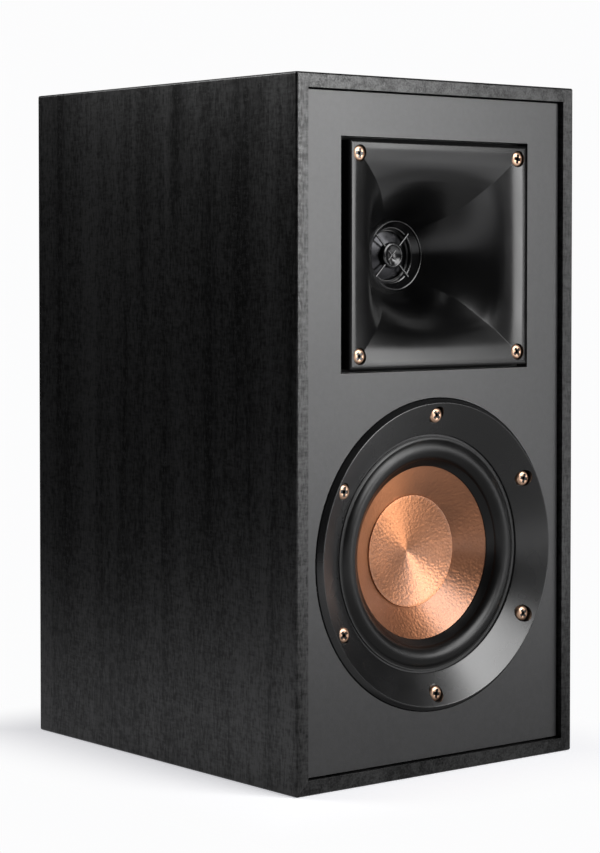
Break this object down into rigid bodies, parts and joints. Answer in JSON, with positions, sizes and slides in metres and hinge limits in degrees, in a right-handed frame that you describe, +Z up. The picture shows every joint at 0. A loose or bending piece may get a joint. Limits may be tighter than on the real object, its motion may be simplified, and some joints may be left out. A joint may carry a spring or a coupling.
{
  "type": "bookshelf speaker",
  "caption": "Two-way bookshelf loudspeaker: black wrapped cabinet, square horn tweeter, copper-coloured woofer, rear port and screw-down binding posts.",
  "frame": {"origin": "centre of the cabinet's underside", "axes": "the front (horn and woofer) faces -Y, +X is to the right seen from the front, +Z is up"},
  "size_m": [0.181, 0.218, 0.338],
  "materials": {
    "vinyl_wrap": "black ash-grain vinyl wrap over board, satin",
    "baffle_vinyl": "fine-grained satin charcoal vinyl over board",
    "bare_board": "raw fibreboard",
    "horn_plastic": "satin black moulded plastic",
    "ring_plastic": "satin black moulded plastic",
    "dark_gloss": "gloss black moulded plastic",
    "spun_copper": "copper-coloured spun metal, finely hammered",
    "dome_metal": "dark anodised, gloss",
    "copper_screw": "copper-plated, satin",
    "surround_rubber": "butyl rubber, semi-matt",
    "foam_gasket": "closed-cell foam strip",
    "basket_steel": "black powder coat on pressed steel",
    "plated_steel": "zinc-plated turned steel",
    "ferrite": "sintered ferrite",
    "coil_copper": "enamelled copper wire",
    "former_alloy": "rolled foil",
    "spider_cloth": "resin-stiffened woven cloth",
    "pad_fibre": "polyester wadding",
    "board_resin": "printed circuit board",
    "nylon": "moulded nylon",
    "film_sleeve": "shrink sleeve",
    "cement": "white cement body",
    "red_plastic": "moulded plastic",
    "black_plastic": "moulded plastic",
    "gold_plate": "gold-plated brass",
    "fibre_strip": "phenolic strip with plated tabs"
  },
  "bodies": {
    "cabinet": {"back_panel": "vinyl_wrap", "board_screws": "plated_steel", "board_spacers": "nylon", "bottom_panel": "vinyl_wrap", "crossover_board": "board_resin", "crossover_capacitors": "film_sleeve", "crossover_resistor": "cement", "damping_pads": "pad_fibre", "front_baffle": "baffle_vinyl", "horn": "horn_plastic", "horn_gasket": "foam_gasket", "horn_screws": "copper_screw", "negative_post_collar": "black_plastic", "negative_post_stud": "gold_plate", "phase_plug": "dark_gloss", "port_tube": "dark_gloss", "positive_post_collar": "red_plastic", "positive_post_stud": "gold_plate", "post_nuts": "plated_steel", "shelf_brace": "bare_board", "side_panel_left": "vinyl_wrap", "side_panel_right": "vinyl_wrap", "terminal_cup": "dark_gloss", "terminal_cup_screws": "plated_steel", "top_panel": "vinyl_wrap", "tweeter_inductor_bobbin": "nylon", "tweeter_inductor_winding": "coil_copper", "tweeter_magnet": "ferrite", "tweeter_mount_ring": "nylon", "tweeter_screws": "plated_steel", "tweeter_top_plate": "plated_steel", "tweeter_yoke": "plated_steel", "woofer_basket": "basket_steel", "woofer_gasket": "foam_gasket", "woofer_inductor_bobbin": "nylon", "woofer_inductor_winding": "coil_copper", "woofer_magnet": "ferrite", "woofer_screws": "copper_screw", "woofer_terminal_strip": "fibre_strip", "woofer_top_plate": "plated_steel", "woofer_trim_ring": "ring_plastic", "woofer_yoke": "plated_steel"},
    "woofer_diaphragm": {"woofer_cone": "spun_copper", "woofer_dust_cap": "spun_copper", "woofer_coil_former": "former_alloy", "woofer_voice_coil": "coil_copper", "woofer_surround": "surround_rubber", "woofer_spider": "spider_cloth"},
    "tweeter_diaphragm": {"tweeter_dome": "dome_metal", "tweeter_voice_coil": "coil_copper", "tweeter_suspension": "surround_rubber"},
    "positive_washer": {"positive_post_washer": "gold_plate"},
    "positive_cap": {"positive_post_cap": "red_plastic"},
    "negative_washer": {"negative_post_washer": "gold_plate"},
    "negative_cap": {"negative_post_cap": "black_plastic"}
  },
  "joints": [
    {"name": "woofer_excursion", "type": "slide", "parent": "cabinet", "child": "woofer_diaphragm", "axis": [0, -1, 0], "range_m": [-0.004, 0.004], "stiffness_N_per_m": 900, "deforming": ["woofer_surround", "woofer_spider"]},
    {"name": "tweeter_excursion", "type": "slide", "parent": "cabinet", "child": "tweeter_diaphragm", "axis": [0, -1, 0], "range_m": [-0.0003, 0.0003], "stiffness_N_per_m": 2000, "deforming": ["tweeter_suspension"]},
    {"name": "positive_washer_slide", "type": "slide", "parent": "cabinet", "child": "positive_washer", "axis": [0, 1, 0], "range_m": [0, 0.005]},
    {"name": "positive_cap_turn", "type": "hinge", "parent": "positive_washer", "child": "positive_cap", "pos_m": [0.00953, 0.09, 0.095], "axis": [0, 1, 0], "range_deg": [0, 1800]},
    {"name": "negative_washer_slide", "type": "slide", "parent": "cabinet", "child": "negative_washer", "axis": [0, 1, 0], "range_m": [0, 0.005]},
    {"name": "negative_cap_turn", "type": "hinge", "parent": "negative_washer", "child": "negative_cap", "pos_m": [-0.00953, 0.09, 0.095], "axis": [0, 1, 0], "range_deg": [0, 1800]}
  ],
  "couplings": [
    {"joint": "positive_washer_slide", "follows": "positive_cap_turn", "m_per_rad": 0.00015915},
    {"joint": "negative_washer_slide", "follows": "negative_cap_turn", "m_per_rad": 0.00015915}
  ]
}
